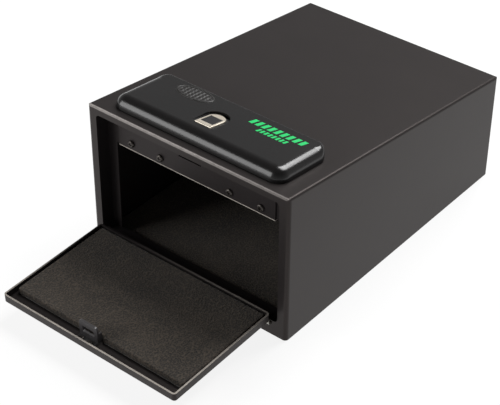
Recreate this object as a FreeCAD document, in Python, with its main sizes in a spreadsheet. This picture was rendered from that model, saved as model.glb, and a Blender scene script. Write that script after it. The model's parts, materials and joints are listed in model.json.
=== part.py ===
"""Drop-door pistol safe with a fingerprint lock.

A wedge-shaped steel box, taller at the front, whose front door is hinged along its lower edge and
stands open a little past level.  Behind the top of the doorway hangs the lock: a sliding latch with
a forward hook, a pull solenoid, a backup key lock in the left wall and a battery holder, all inside
a bent sheet cover.  A moulded pod on the sloping roof carries the fingerprint reader.

Frame, in millimetres: origin at the centre of the base, +X to the right, -Y out of the doorway,
+Z up.  Lengths with the word "front" in them count from the front face.
"""
import FreeCAD
import Part
import Sketcher

import os
import re

from FreeCAD import Placement, Rotation, Vector

SIZES = {
    # steel box
    "width": 216, "depth": 311, "front_height": 146, "back_height": 108, "wall": 1.5,
    "roof_bend": 2.5, "corner_bend": 3.5,
    # doorway and the frame welded behind it
    "opening_half": 98.5, "sill": 15, "opening_top": 138.3, "opening_corner": 4,
    "jamb_depth": 13.7, "stop_lip": 10, "lintel": 107.4,
    # floor
    "flange_rise": 7, "bolt_x": 65, "bolt_front": 130, "bolt_back": 270, "bolt_hole": 4.25,
    "liner_height": 8, "liner_hole": 8,
    # cover in front of and under the lock
    "cover_half": 85, "cover_bottom": 107.2, "cover_sheet": 1.2, "cover_back": 110,
    "cover_rise": 17, "screw_near": 37.8, "screw_far": 70.4, "screw_height": 114,
    "screw_radius": 2, "screw_head": 3.4, "screw_head_height": 2.1,
    # hinge, whose axis lies in front of the front face
    "hinge_out": 3.5, "hinge_height": 16.3, "pin_radius": 1.5, "pin_play": 0.05,
    "barrel": 2.6, "leaf": 1.1, "leaf_deep": 7.6, "leaf_half": 88, "knuckles": 9,
    "knuckle_gap": 0.4, "stop_tab_half": 5, "stop_tab_reach": 4.5, "stop_tab_top": 3,
    "open_angle": 91.9,
    # door, measured from the hinge axis with the door upright
    "door_half": 95.3, "door_low": 1.3, "door_top": 120.3, "door_deep": 7.8, "door_corner": 3,
    "door_soft": 0.9, "pad_side": 1.2, "pad_top": 107, "pad_thick": 5,
    # striker loop on the door and the latch that drops through it
    "latch_x": -5.2, "striker_half": 10, "striker_tall": 17, "striker_face": 111.2,
    "striker_thick": 2, "striker_hole_half": 6.3, "striker_hole_low": 6,
    "striker_hole_high": 11.6, "gusset": 5.5, "gusset_tall": 10, "notch_half": 12, "notch_low": 0.4, "rivet_radius": 1.5, "rivet_spread": 5, "rivet_z": 115.4,
    "travel": 7, "hook_half": 4.3, "hook_front": 8.2, "hook_thick": 3.2, "hook_low": 129.4,
    "hook_top": 137.7, "arm_low": 134.8, "plate_front": 15.6, "plate_thick": 3,
    "plate_half": 23.8, "plate_low": 116.2, "plate_top": 141.3, "window_half": 13,
    "window_low": 120.2, "foot_back": 34, "foot_thick": 1.5, "bar_low": 126, "bar_high": 132,
    # solenoid
    "coil_y": 30, "coil_radius": 8, "coil_low": 124, "coil_high": 137.5, "plunger_radius": 3.4,
    "yoke": 1.5,
    # backup key lock
    "key_y": 40, "key_z": 122, "key_barrel": 8.5, "key_plug": 6, "key_end": 87,
    "crank_throw": 4.95, "crank_pin": 2, "crank_gap": 0.5,
    # batteries
    "cell_radius": 7.15, "cell_length": 50.5, "cell_pitch": 15.2, "cell_first": 29,
    "cell_z": 117, "cell_front": 48.7, "tray_left": 20.5, "tray_right": 83.5,
    "tray_front": 44, "tray_back": 104, "tray_top": 126.4,
    # pod, measured along the roof from its front edge and up from the roof
    "pod_half": 91, "pod_front": 11, "pod_back": 76, "pod_high": 11.4, "pod_corner": 11.5,
    "pod_roll": 9.8, "pod_back_roll": 1.4, "pod_wall": 2, "gasket": 0.6,
    "reader_x": -3.5, "reader_half": 8.5, "reader_front": 26.5, "reader_arch": 43.5,
    "reader_tilt": 4.5, "recess_margin": 3.4, "window_x": 6.4, "window_front": 4.6,
    "window_long": 14.4, "badge_x": -43, "badge_y": 63.4, "badge_a": 20, "badge_b": 10.8,
    "badge_thick": 0.5, "board_half": 58, "board_front": 30, "board_back": 68,
    "wire_half": 12,
}
# Planes of the box, as lengths from the origin.
PLANES = {"front": "-depth / 2", "back": "depth / 2", "side": "width / 2",
          "slope": "atan((front_height - back_height) / depth)"}

doc = FreeCAD.newDocument("PistolSafe")
sheet = doc.addObject("Spreadsheet::Sheet", "Sizes")
for row, (alias, number) in enumerate(SIZES.items(), start=1):
    sheet.set(f"A{row}", alias)
    sheet.set(f"B{row}", str(number))
    sheet.setAlias(f"B{row}", alias)
doc.recompute()

nodes = []


# ---------------------------------------------------------------- expressions and placing

def link(text):
    """Turn plain words such as "front + wall" into references to the sheet."""
    def swap(match):
        word = match.group(0)
        if word in PLANES:
            return "(" + link(PLANES[word]) + ")"
        return "Sizes." + word if word in SIZES else word
    return re.sub(r"[A-Za-z_]\w*", swap, str(text))


def number(text):
    """The present value of an expression, in millimetres or degrees."""
    value = sheet.evalExpression(link(text))
    return float(getattr(value, "Value", value))


def bind(thing, **expressions):
    """Bind properties of a document object; two underscores stand for a dot."""
    for path, text in expressions.items():
        thing.setExpression(path.replace("__", "."), link(text))
    return thing


def turn_about_x(thing, y, z, angle):
    """Carry a piece that was drawn about the X axis to (y, z), turned by an angle."""
    carrier = group(thing.Name + "_placed", [thing])
    carrier.Placement = Placement(Vector(), Rotation(Vector(1, 0, 0), 1))
    return bind(carrier, Placement__Base__y=y, Placement__Base__z=z,
                Placement__Rotation__Angle=angle)


def on_roof(thing):
    """Lay a piece on the roof: its Y runs down the slope, its Z stands off the sheet."""
    return turn_about_x(thing, "front", "front_height", "-slope")


def on_reader(thing):
    """Lay a piece on the tilted floor of the finger recess."""
    return turn_about_x(thing, "front + reader_front * cos(slope) + pod_high * sin(slope)",
                        "front_height - reader_front * sin(slope) + pod_high * cos(slope)",
                        "-slope - reader_tilt * 1 deg")


def on_hinge(thing):
    """Hang a piece, drawn upright about the hinge axis, in the open position."""
    return turn_about_x(thing, "front - hinge_out", "hinge_height", "open_angle")


def node(name, thing):
    """Name a finished sub-part, moving the name off any blank it was made from."""
    for blank in doc.getObjectsByLabel(name):
        blank.Label = name + "_blank"
    thing.Label = name
    nodes.append(thing)
    return thing


# ---------------------------------------------------------------- solids

def block(name, x, y, z):
    """A box between a low and a high expression on each axis."""
    solid = doc.addObject("Part::Box", name)
    for (low, high), length, axis in zip((x, y, z), ("Length", "Width", "Height"), "xyz"):
        solid.setExpression(length, link(f"({high}) - ({low})"))
        solid.setExpression("Placement.Base." + axis, link(low))
    return solid


def rod(name, radius, axis, span, first, second):
    """A cylinder along an axis; first and second place it on the two other axes, in order."""
    solid = doc.addObject("Part::Cylinder", name)
    toward = {"x": Vector(1, 0, 0), "y": Vector(0, 1, 0), "z": Vector(0, 0, 1)}[axis]
    solid.Placement = Placement(Vector(), Rotation(Vector(0, 0, 1), toward))
    low, high = span
    across = [letter for letter in "xyz" if letter != axis]
    places = {axis: low, across[0]: first, across[1]: second}
    bind(solid, Radius=radius, Height=f"({high}) - ({low})")
    for letter, text in places.items():
        solid.setExpression("Placement.Base." + letter, link(text))
    return solid


def cut(name, base, *tools):
    """The base with every tool taken away."""
    result = doc.addObject("Part::Cut", name)
    result.Base = base
    result.Tool = tools[0] if len(tools) == 1 else fuse(name + "_tools", *tools)
    return result


def fuse(name, *parts):
    """Several solids made one."""
    result = doc.addObject("Part::MultiFuse", name)
    result.Shapes = list(parts)
    result.Refine = True
    return result


def common(name, *parts):
    """What several solids share."""
    result = doc.addObject("Part::MultiCommon", name)
    result.Shapes = list(parts)
    return result


def group(name, parts):
    """Several separate solids in one sub-part."""
    result = doc.addObject("Part::Compound", name)
    result.Links = list(parts)
    return result


# Sketch planes of a body: the plane's role, the axis it faces and the sense of its normal.
SKETCH_PLANES = {"XY": ("XY_Plane", 2, 1), "XZ": ("XZ_Plane", 1, -1), "YZ": ("YZ_Plane", 0, 1)}


def sketch_on(body, plane, offset):
    """A sketch attached to one of the body's own planes, moved along its normal."""
    role, _, sense = SKETCH_PLANES[plane]
    sketch = body.newObject("Sketcher::SketchObject", body.Name + "_sketch")
    base = next(item for item in body.Origin.OriginFeatures if item.Role == role)
    sketch.AttachmentSupport = (base, "")
    sketch.MapMode = "FlatFace"
    sketch.setExpression("AttachmentOffset.Base.z", link(f"({offset}) * {sense}"))
    return sketch


def outline(sketch, corners):
    """A closed polygon whose corners are bound, by expression, to distances from the origin."""
    spots = [Vector(number(u), number(v), 0) for u, v in corners]
    for index, start in enumerate(spots):
        sketch.addGeometry(Part.LineSegment(start, spots[(index + 1) % len(spots)]), False)
    for index in range(len(spots)):
        following = (index + 1) % len(spots)
        sketch.addConstraint(Sketcher.Constraint("Coincident", index, 2, following, 1))
    for index, (u, v) in enumerate(corners):
        for kind, text, value in (("DistanceX", u, spots[index].x), ("DistanceY", v, spots[index].y)):
            place = sketch.addConstraint(Sketcher.Constraint(kind, -1, 1, index, 1, value))
            sketch.setExpression(f"Constraints[{place}]", link(text))


def prism(name, plane, corners, span):
    """A body padded from a polygon; span is its low and high place on the plane's normal."""
    body = doc.addObject("PartDesign::Body", name)
    low, high = span
    sense = SKETCH_PLANES[plane][2]
    sketch = sketch_on(body, plane, low if sense > 0 else high)
    outline(sketch, corners)
    pad = body.newObject("PartDesign::Pad", name + "_pad")
    pad.Profile = sketch
    bind(pad, Length=f"({high}) - ({low})")
    doc.recompute()
    return body


def rectangle(u, v):
    """The corners of a rectangle between low and high expressions."""
    return [(u[0], v[0]), (u[1], v[0]), (u[1], v[1]), (u[0], v[1])]


def edges_along(shape, axis):
    """Names of the straight edges that run along an axis."""
    found = []
    for index, edge in enumerate(shape.Edges, start=1):
        if isinstance(edge.Curve, Part.Line) and abs(edge.tangentAt(edge.FirstParameter)[axis]) > 0.999:
            found.append(f"Edge{index}")
    return found


def edges_in_plane(shape, axis, place):
    """Names of the edges that lie in a plane across an axis."""
    tolerance = 1e-4
    return [f"Edge{index}" for index, edge in enumerate(shape.Edges, start=1)
            if all(abs(corner.Point[axis] - place) < tolerance for corner in edge.Vertexes)
            and abs(edge.CenterOfMass[axis] - place) < tolerance]


def round_edges(body, names, radius):
    """Round named edges of the body's last feature."""
    last = body.Tip
    fillet = body.newObject("PartDesign::Fillet", body.Name + "_round")
    fillet.Base = (last, names)
    bind(fillet, Radius=radius)
    doc.recompute()
    return body


def rounded_prism(name, plane, u, v, span, radius):
    """A block whose four edges across the sketch plane are rounded."""
    body = prism(name, plane, rectangle(u, v), span)
    return round_edges(body, edges_along(body.Shape, SKETCH_PLANES[plane][1]), radius)


def coil(name, turns, pitch, radius, wire):
    """A wound wire along +Z from the origin, as one swept solid."""
    path = Part.Wire(Part.makeLongHelix(pitch, pitch * turns, radius).Edges)
    ring = Part.Wire(Part.makeCircle(wire, Vector(radius, 0, 0), Vector(0, 1, 0)))
    solid = Part.BRepOffsetAPI.MakePipeShell(path)
    solid.setFrenetMode(True)
    solid.add(ring)
    solid.build()
    solid.makeSolid()
    feature = doc.addObject("Part::Feature", name)
    feature.Shape = solid.shape()
    return feature


def pan_screw(name, length):
    """A cross-recessed pan-head screw along +Z: the head below zero, the shank above."""
    head = rod(name + "_head", "screw_head", "z", ("-screw_head_height", 0), 0, 0)
    doc.recompute()
    dome = doc.addObject("Part::Fillet", name + "_dome")
    dome.Base = head
    rim = edges_in_plane(head.Shape, 2, -number("screw_head_height"))
    crown = 0.7 * number("screw_head_height")
    dome.Edges = [(int(edge[4:]), crown, crown) for edge in rim]
    shank = rod(name + "_shank", "screw_radius", "z", ("-0.1", length), 0, 0)
    arm, slot = "screw_head * 0.55", 0.45
    recess = ("-screw_head_height - 1", "-screw_head_height * 0.45")
    return cut(name, fuse(name + "_body", dome, shank),
               block(name + "_slot_a", ("-" + arm, arm), (-slot, slot), recess),
               block(name + "_slot_b", (-slot, slot), ("-" + arm, arm), recess))


def screw_at(name, length, x, y, z, rotation):
    """One screw, turned and moved to its hole."""
    screw = pan_screw(name, length)
    screw.Placement = Placement(Vector(), rotation)
    return bind(screw, Placement__Base__x=x, Placement__Base__y=y, Placement__Base__z=z)


# ---------------------------------------------------------------- steel box

def wedge(name, inset, low, bend):
    """The box's side view, inset on every face but the bottom, with its roof edges rounded."""
    roof = f"{inset} * (1 / cos(slope) - tan(slope))"
    body = prism(name, "YZ", [(f"front + {inset}", low), (f"back - {inset}", low),
                              (f"back - {inset}", f"back_height - {inset} / cos(slope) + {inset} * tan(slope)"),
                              (f"front + {inset}", f"front_height - {roof} - 2 * {inset} * tan(slope)")],
                 (f"-side + {inset}", f"side - {inset}"))
    half = number("width") / 2 - number(inset)
    roof_edges = [f"Edge{i}" for i, edge in enumerate(body.Shape.Edges, start=1)
                  if edge.CenterOfMass.z > number("back_height") - 5 * number("wall")
                  and (abs(abs(edge.CenterOfMass.x) - half) < 1e-6 and edge.Length > number("depth") / 2
                       or edge.CenterOfMass.y > number("depth") / 2 - 2 * number("wall")
                       and abs(edge.CenterOfMass.x) < 1e-6)]
    return round_edges(body, roof_edges, bend)


def hollow_box():
    """Roof, sides, back and front flange of one welded sheet shell, open below."""
    plan = rounded_prism("shell_plan", "XY", ("-side", "side"), ("front", "back"),
                         (0, "front_height + 1"), "corner_bend")
    inner_plan = rounded_prism("shell_inner_plan", "XY", ("-side + wall", "side - wall"),
                               ("front + wall", "back - wall"), (-1, "front_height + 1"),
                               "corner_bend - wall")
    outer = common("shell_outer", wedge("shell_wedge", "0", "0", "roof_bend"), plan)
    inner = common("shell_inner", wedge("shell_void", "wall", "-1", "roof_bend - wall"), inner_plan)
    doorway = rounded_prism("shell_doorway", "XZ", ("-opening_half", "opening_half"),
                            ("sill", "opening_top"), ("front - 1", "front + wall + 1"),
                            "opening_corner")
    key_hole = rod("shell_key_hole", "key_barrel + 0.2", "x", ("-side - 1", "-side + wall + 1"),
                   "front + key_y", "key_z")
    wires = on_roof(block("shell_wire_hole", ("-wire_half", "wire_half"),
                          ("board_front + 4", "board_back - 8"), ("-wall - 2", 1)))
    screw_holes = [on_roof(rod(f"shell_pod_hole_{i}", "screw_radius + 0.2", "z", ("-wall - 2", 1), x, y))
                   for i, (x, y) in enumerate(POD_SCREWS)]
    return node("outer_shell", cut("outer_shell", outer, inner, doorway, key_hole, wires, *screw_holes))


def base_plate():
    """The floor: a plate between the walls with two spot-welded side flanges and four bolt holes."""
    half = "side - wall"
    plate = rounded_prism("base_sheet", "XY", (f"-{half.replace(' -', ' +')}", half),
                          ("front + wall", "back - wall"), (0, "wall"), "corner_bend - wall")
    flanges = [block(f"base_flange_{i}", span, ("front + 20", "back - 8"), ("wall / 2", "wall + flange_rise"))
               for i, span in enumerate((("-side + wall", "-side + 2 * wall"),
                                         ("side - 2 * wall", "side - wall")))]
    holes = [rod(f"base_hole_{i}", "bolt_hole", "z", (-1, "wall + 1"), x, y)
             for i, (x, y) in enumerate(BOLTS)]
    return node("base_plate", cut("base_plate", fuse("base_blank", plate, *flanges), *holes))


def door_stop_frame():
    """Jambs, head and sill shelf of the doorway, with the lip that the shut door meets."""
    back_face = "front + jamb_depth + wall"
    outer = rounded_prism("frame_outer", "XZ", ("-opening_half - wall", "opening_half + wall"),
                          ("sill - wall", "opening_top + wall"), ("front + wall", back_face),
                          "opening_corner + wall")
    tunnel = rounded_prism("frame_tunnel", "XZ", ("-opening_half", "opening_half"),
                           ("sill", "opening_top"), ("front", "front + jamb_depth"), "opening_corner")
    past = ("front + jamb_depth - 1", "front + jamb_depth + wall + 1")
    mouth = block("frame_mouth", ("-opening_half + stop_lip", "opening_half - stop_lip"), past,
                  ("sill", "lintel"))
    cover_gap = block("frame_cover_gap", ("-cover_half - 1.3", "cover_half + 1.3"), past,
                      ("lintel - 1", "cover_bottom + cover_sheet + 0.5"))
    latch_gap = block("frame_latch_gap", ("latch_x - window_half", "latch_x + window_half"), past,
                      ("striker_face + hinge_height - 6", "opening_top"))
    holes = [rod(f"frame_hole_{i}", "screw_radius", "y", past, x, "screw_height")
             for i, x in enumerate(COVER_SCREWS)]
    return node("door_stop_frame", cut("door_stop_frame", outer, tunnel, mouth, cover_gap,
                                       latch_gap, *holes))


def floor_liner():
    """Foam on the floor, with access holes over the bolts."""
    pad = rounded_prism("liner_pad", "XY", ("-side + 2 * wall + 0.6", "side - 2 * wall - 0.6"),
                        ("front + jamb_depth + wall + 1", "back - wall - 1"),
                        ("wall + 0.05", "wall + liner_height"), "corner_bend")
    holes = [rod(f"liner_hole_{i}", "liner_hole", "z", (0, "wall + liner_height + 1"), x, y)
             for i, (x, y) in enumerate(BOLTS)]
    return node("floor_liner", cut("floor_liner", pad, *holes))


# ---------------------------------------------------------------- lock

def lock_cover():
    """Bent sheet: a face plate with a latch notch, a bottom with the battery hatch, a rear rise."""
    face = ("front + jamb_depth - cover_sheet", "front + jamb_depth")
    ends = ("-cover_half", "cover_half")
    sheet_z = ("cover_bottom", "cover_bottom + cover_sheet")
    plate = block("cover_face", ends, face, ("cover_bottom", "opening_top - 0.5"))
    bottom = block("cover_floor", ends, (face[0], "front + cover_back"), sheet_z)
    rise = block("cover_rear", ends, ("front + cover_back - cover_sheet", "front + cover_back"),
                 ("cover_bottom", "cover_bottom + cover_rise"))
    notch = block("cover_notch", ("latch_x - notch_half", "latch_x + notch_half"),
                  ("front + jamb_depth - cover_sheet - 1", "front + jamb_depth + 1"),
                  ("striker_face + hinge_height - striker_thick - notch_low", "opening_top"))
    hatch = block("cover_hatch", ("tray_left + 1.5", "tray_right - 1.5"),
                  ("front + tray_front + 2", "front + tray_back - 2"),
                  ("cover_bottom - 1", "cover_bottom + cover_sheet + 1"))
    holes = [rod(f"cover_hole_{i}", "screw_radius + 0.15", "y",
                 ("front + jamb_depth - cover_sheet - 1", "front + jamb_depth + 0.5"), x, "screw_height")
             for i, x in enumerate(COVER_SCREWS)]
    return node("lock_cover", cut("lock_cover", fuse("cover_sheet_body", plate, bottom, rise),
                                  notch, hatch, *holes))


def lock_cover_screws():
    """Four pan-head screws through the cover's face."""
    facing_in = Rotation(Vector(1, 0, 0), -90)
    screws = [screw_at(f"cover_screw_{i}", "cover_sheet + wall + 2", x,
                       "front + jamb_depth - cover_sheet", "screw_height", facing_in)
              for i, x in enumerate(COVER_SCREWS)]
    return node("lock_cover_screws", group("lock_cover_screws", screws))


def latch_slide():
    """Window plate that rises and falls, with the hook, the plunger foot and the release bar."""
    hook_x = ("latch_x - hook_half", "latch_x + hook_half")
    plate_y = ("front + plate_front", "front + plate_front + plate_thick")
    plate = block("latch_plate", ("latch_x - plate_half", "latch_x + plate_half"), plate_y,
                  ("plate_low", "plate_top"))
    window = block("latch_window", ("latch_x - window_half", "latch_x + window_half"),
                   ("front + plate_front - 1", "front + plate_front + plate_thick + 1"),
                   ("window_low", "arm_low"))
    frame = cut("latch_frame", plate, window)
    arm = block("latch_arm", hook_x, ("front + hook_front", "front + plate_front + 0.1"),
                ("arm_low", "hook_top"))
    nose = prism("latch_nose", "YZ", [("front + hook_front", "hook_top"),
                                      ("front + hook_front", "hook_low + hook_thick / 2"),
                                      ("front + hook_front + hook_thick / 2", "hook_low"),
                                      ("front + hook_front + hook_thick", "hook_low"),
                                      ("front + hook_front + hook_thick", "hook_top")], hook_x)
    foot = block("latch_foot", ("latch_x - 5", "latch_x + 5"),
                 ("front + plate_front + plate_thick - 0.1", "front + foot_back"),
                 ("plate_low", "plate_low + foot_thick"))
    stem = rod("latch_stem_hole", "rivet_radius", "z", ("plate_low - 1", "plate_low + foot_thick + 1"),
               "latch_x", "front + coil_y")
    bar = block("latch_bar", ("-side + wall + 25", "latch_x - plate_half + 0.1"), plate_y,
                ("bar_low", "bar_high"))
    tab_low = "key_z + crank_throw * sin(45) + crank_pin + crank_gap"
    tab = block("latch_tab", ("-side + wall + 25", "-side + wall + 29"),
                ("front + plate_front + plate_thick - 0.1", "front + key_y + 9"),
                (tab_low, f"{tab_low} + 2"))
    return node("latch_slide", cut("latch_slide", fuse("latch_body", frame, arm, nose, foot, bar, tab),
                                   stem))


def latch_guides():
    """Channels on the back of the door stop frame that hold the slide's edges."""
    back_face = "front + jamb_depth + wall"
    lip = ("front + plate_front + plate_thick + 0.4", "front + plate_front + plate_thick + 1.6")
    pieces = []
    for i, (sign, low, high) in enumerate(((-1, 110, 117.5), (-1, 133.5, 140.5), (1, 110, 140.5))):
        edge, outside, inside = (f"latch_x + {sign} * (plate_half + {gap})" for gap in (0.4, 3.2, -2.5))
        wide, narrow = sorted((edge, outside), key=number), sorted((inside, outside), key=number)
        web = block(f"guide_web_{i}", wide, (back_face, lip[1]), (low, high))
        flange = block(f"guide_lip_{i}", narrow, lip, (low, high))
        pieces.append(fuse(f"guide_{i}", web, flange))
    return node("latch_guides", group("latch_guides", pieces))


def solenoid():
    """Yoke, coil and plunger of the pull solenoid, with the latch spring round the plunger."""
    yoke_x = ("latch_x - 10", "latch_x + 10")
    yoke_y = ("front + coil_y - coil_radius - 1", "front + coil_y + coil_radius + 0.2 + yoke")
    plates = [block("yoke_low", yoke_x, yoke_y, ("coil_low - yoke", "coil_low")),
              block("yoke_high", yoke_x, yoke_y, ("coil_high", "coil_high + yoke")),
              block("yoke_back", yoke_x, ("front + coil_y + coil_radius + 0.2", yoke_y[1]),
                    ("coil_low - yoke", "coil_high + yoke"))]
    where = ("latch_x", "front + coil_y")
    bore = rod("yoke_bore", "plunger_radius + 0.3", "z", ("coil_low - yoke - 1", "coil_low + 1"), *where)
    node("solenoid_frame", cut("solenoid_frame", fuse("yoke_body", *plates), bore))
    winding = rod("coil_winding", "coil_radius", "z", ("coil_low", "coil_high"), *where)
    hollow = rod("coil_bore", "plunger_radius + 0.3", "z", ("coil_low - 1", "coil_high - 1"), *where)
    node("solenoid_coil", cut("solenoid_coil", winding, hollow))
    core = rod("plunger_core", "plunger_radius", "z", ("plate_low + foot_thick", "coil_high - 1.6"), *where)
    stem = rod("plunger_stem", "rivet_radius", "z", ("plate_low", "plate_low + foot_thick + 1"), *where)
    node("solenoid_plunger", fuse("solenoid_plunger", core, stem))
    wire, turns = 0.35, 4
    room = number("coil_low - yoke - plate_low - foot_thick")
    spring = node("latch_spring", coil("latch_spring", turns, (room - 2 * wire - 0.2) / turns,
                                       number("plunger_radius") + 1.4, wire))
    spring.Placement = Placement(Vector(number("latch_x"), number("front + coil_y"),
                                        number("plate_low + foot_thick") + wire + 0.1), Rotation())


def key_lock():
    """Backup lock in the left wall: barrel, nut, turning plug and the crank that lifts the slide."""
    where = ("front + key_y", "key_z")
    wall_in = "-side + wall"
    rim = rod("barrel_rim", "key_barrel + 2.5", "x", ("-side - 2", "-side"), *where)
    tube = rod("barrel_tube", "key_barrel", "x", ("-side - 0.1", "-key_end"), *where)
    bore = rod("barrel_bore", "key_plug + pin_play", "x", ("-side - 3", "-key_end + 1"), *where)
    node("key_lock_barrel", cut("key_lock_barrel", fuse("barrel_body", rim, tube), bore))
    hexagon = [(f"{where[0]} + 12.7 * cos({60 * k})", f"key_z + 12.7 * sin({60 * k})") for k in range(6)]
    nut = prism("nut_blank", "YZ", hexagon, (wall_in, f"{wall_in} + 4"))
    thread = rod("nut_bore", "key_barrel", "x", (f"{wall_in} - 1", f"{wall_in} + 5"), *where)
    node("key_lock_nut", cut("key_lock_nut", nut, thread))
    plug = rod("plug_body", "key_plug", "x", ("-side - 2.2", "-key_end + 0.5"), *where)
    keyway = block("plug_keyway", ("-side - 3", "-side + 14"), ("front + key_y - 3.6", "front + key_y + 3.6"),
                   ("key_z - 0.9", "key_z + 0.9"))
    node("key_plug", cut("key_plug", plug, keyway))
    disc = rod("crank_disc", "crank_throw + crank_pin + 0.4", "x", ("-key_end + 0.5", "-key_end + 3"), *where)
    pin = rod("crank_pin", "crank_pin", "x", ("-key_end + 2.9", "-side + wall + 29"),
              "front + key_y + crank_throw * cos(45)", "key_z + crank_throw * sin(45)")
    node("key_crank", fuse("key_crank", disc, pin))


def battery_pack():
    """Cell tray, four cells, their contact strips, and the hatch cover that slides on two rails."""
    inside = 1.2
    tray = block("tray_block", ("tray_left", "tray_right"), ("front + tray_front", "front + tray_back"),
                 ("cover_bottom + cover_sheet", "tray_top"))
    space = block("tray_space", (f"tray_left + {inside}", f"tray_right - {inside}"),
                  (f"front + tray_front + {inside}", f"front + tray_back - {inside}"),
                  ("cover_bottom", f"tray_top - {inside}"))
    node("battery_tray", cut("battery_tray", tray, space))
    cells, contacts = [], []
    near, far = "front + cell_front", "front + cell_front + cell_length"
    for i in range(4):
        x = f"cell_first + {i} * cell_pitch"
        body = rod(f"cell_body_{i}", "cell_radius", "y", (near, f"{far} - 1.2"), x, "cell_z")
        tip = rod(f"cell_tip_{i}", "cell_radius * 0.38", "y", (f"{far} - 1.3", far), x, "cell_z")
        cells.append(fuse(f"cell_{i}", body, tip))
        for end, (low, high) in enumerate(((f"front + tray_front + {inside} + 0.1", f"{near} - 0.1"),
                                           (f"{far} + 0.1", f"front + tray_back - {inside} - 0.1"))):
            thick = 0.5
            wall_side = (low, f"{low} + {thick}") if end == 0 else (f"{high} - {thick}", high)
            strip = block(f"contact_strip_{i}_{end}", (f"{x} - 6", f"{x} + 6"), wall_side,
                          ("cell_z - 6", "cell_z + 6"))
            bump = doc.addObject("Part::Cone", f"contact_cone_{i}_{end}")
            bind(bump, Radius1=3.6, Radius2=2, Height=f"({high}) - ({low}) - {thick}",
                 Placement__Base__x=x, Placement__Base__z="cell_z")
            facing = -90 if end == 0 else 90
            bump.Placement.Rotation = Rotation(Vector(1, 0, 0), facing)
            bind(bump, Placement__Base__y=wall_side[1] if end == 0 else wall_side[0])
            contacts.append(fuse(f"contact_{i}_{end}", strip, bump))
    node("battery_cells", group("battery_cells", cells))
    node("battery_contacts", group("battery_contacts", contacts))
    lid_top = "cover_bottom - 0.35"
    lid = block("hatch_lid", ("tray_left", "tray_right"), ("front + tray_front - 1", "front + tray_back + 1"),
                (f"{lid_top} - 1.4", lid_top))
    ribs = [block(f"hatch_rib_{i}", ("tray_left + 20", "tray_right - 20"),
                  (f"front + tray_front + 6 + {3 * i}", f"front + tray_front + 7.2 + {3 * i}"),
                  (f"{lid_top} - 2", f"{lid_top} - 1.3")) for i in range(3)]
    node("battery_cover", fuse("battery_cover", lid, *ribs))
    rails = []
    for i, (sign, edge) in enumerate(((-1, "tray_left"), (1, "tray_right"))):
        inner, outer = f"{edge} + {sign} * 0.4", f"{edge} + {sign} * 1.6"
        lip = f"{edge} - {sign} * 1.4"
        run = ("front + tray_front - 1", "front + tray_back + 1")
        web = block(f"rail_web_{i}", sorted((inner, outer), key=number), run,
                    (f"{lid_top} - 2.9", "cover_bottom"))
        flange = block(f"rail_lip_{i}", sorted((lip, outer), key=number), run,
                       (f"{lid_top} - 2.9", f"{lid_top} - 1.8"))
        rails.append(fuse(f"rail_{i}", web, flange))
    node("battery_cover_rails", group("battery_cover_rails", rails))


# ---------------------------------------------------------------- pod on the roof

def soft_top(name, body, roll, back_roll):
    """Roll a pod's top edges: wide at the front and ends, tight along the back."""
    shape = body.Shape
    top = shape.BoundBox.ZMax
    rolled = doc.addObject("Part::Fillet", name)
    rolled.Base = body
    edges = []
    straight_back = max((edge for edge in shape.Edges if abs(edge.CenterOfMass.z - top) < 1e-4),
                        key=lambda edge: edge.CenterOfMass.y).CenterOfMass.y
    for index, edge in enumerate(shape.Edges, start=1):
        if any(abs(corner.Z - top) > 1e-4 for corner in edge.Vertexes):
            continue
        on_back = [abs(corner.Y - straight_back) < 1e-3 for corner in edge.Vertexes]
        radii = [back_roll if touching else roll for touching in on_back]
        if edge.Orientation == "Reversed" and isinstance(edge.Curve, Part.Circle):
            radii.reverse()
        edges.append((index, radii[0], radii[-1]))
    rolled.Edges = edges
    return rolled


def arch(name, margin, span):
    """Outline of the reader: straight across the front, half round at the back."""
    half = f"(reader_half + {margin})"
    deep = "(reader_arch - reader_front)"
    slab = block(name + "_slab", (f"reader_x - {half}", f"reader_x + {half}"), (f"-{margin}", deep), span)
    end = rod(name + "_end", half, "z", span, "reader_x", deep)
    return fuse(name, slab, end)


def badge(name, margin, low, high):
    """The blank oval badge."""
    centre = Vector(number("badge_x"), number("badge_y"), number(low))
    ring = Part.Ellipse(centre, number("badge_a") + margin, number("badge_b") + margin)
    feature = doc.addObject("Part::Feature", name)
    feature.Shape = Part.Face(Part.Wire(ring.toShape())).extrude(Vector(0, 0, number(high) - number(low)))
    return feature


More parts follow.
